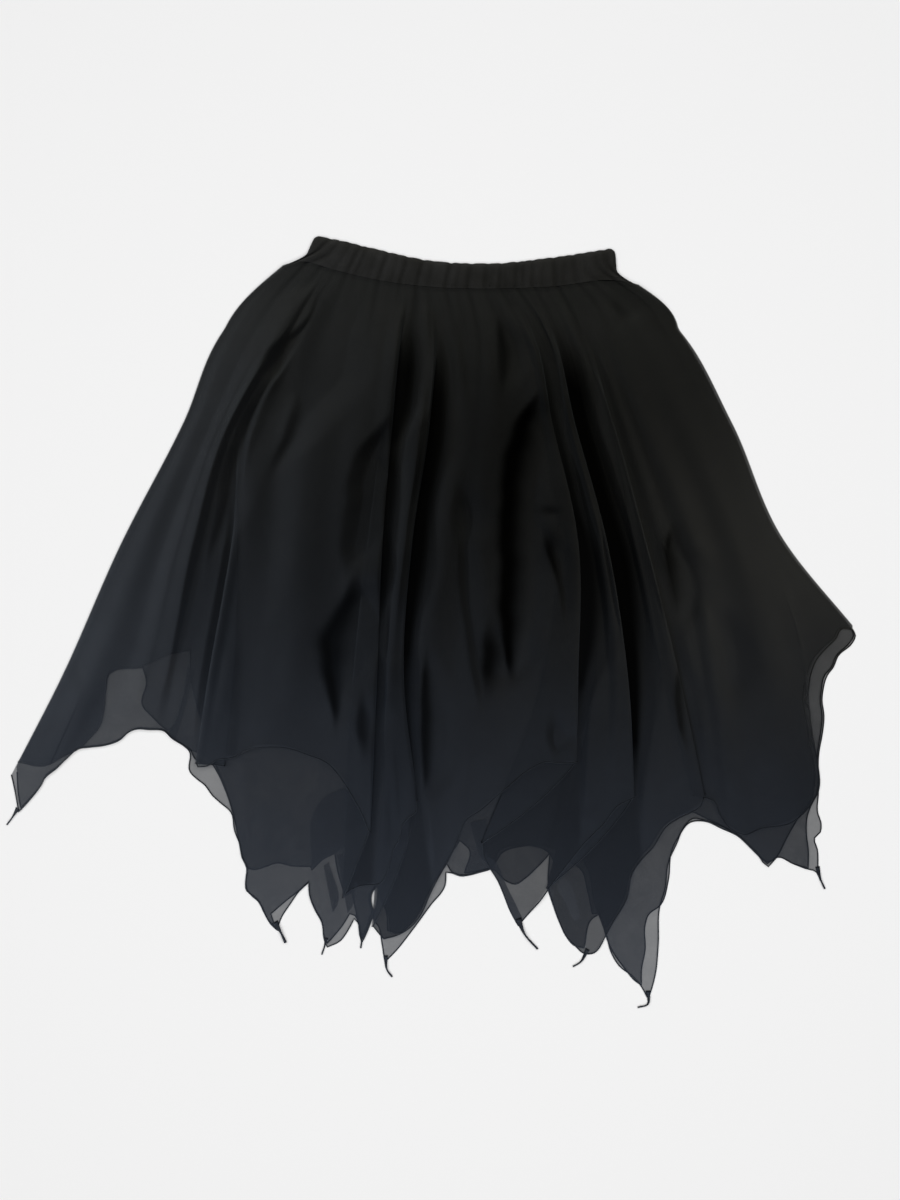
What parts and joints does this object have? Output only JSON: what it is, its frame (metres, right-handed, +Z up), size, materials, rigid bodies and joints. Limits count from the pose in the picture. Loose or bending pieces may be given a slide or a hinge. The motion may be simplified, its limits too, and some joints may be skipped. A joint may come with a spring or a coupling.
{
  "type": "tiered skirt",
  "caption": "Tiered sheer skirt laid flat, with a gathered elastic waist, lapped folds and pointed handkerchief hems.",
  "frame": {"origin": "middle of the footprint, on the surface that the skirt lies on", "axes": "+Z up from the surface, +Y towards the waist, +X to the right as the front is seen"},
  "size_m": [0.913, 0.8319, 0.0155],
  "materials": {
    "chiffon": "sheer black silk chiffon, soft and matt, see-through in a single layer",
    "casing": "black silk chiffon gathered in several layers over flat elastic"
  },
  "bodies": {
    "root": {"waistband_front": "casing", "waistband_back": "casing", "front_upper_tier": "chiffon", "front_lower_tier": "chiffon", "back_lower_tier": "chiffon", "back_upper_tier": "chiffon"}
  },
  "joints": []
}
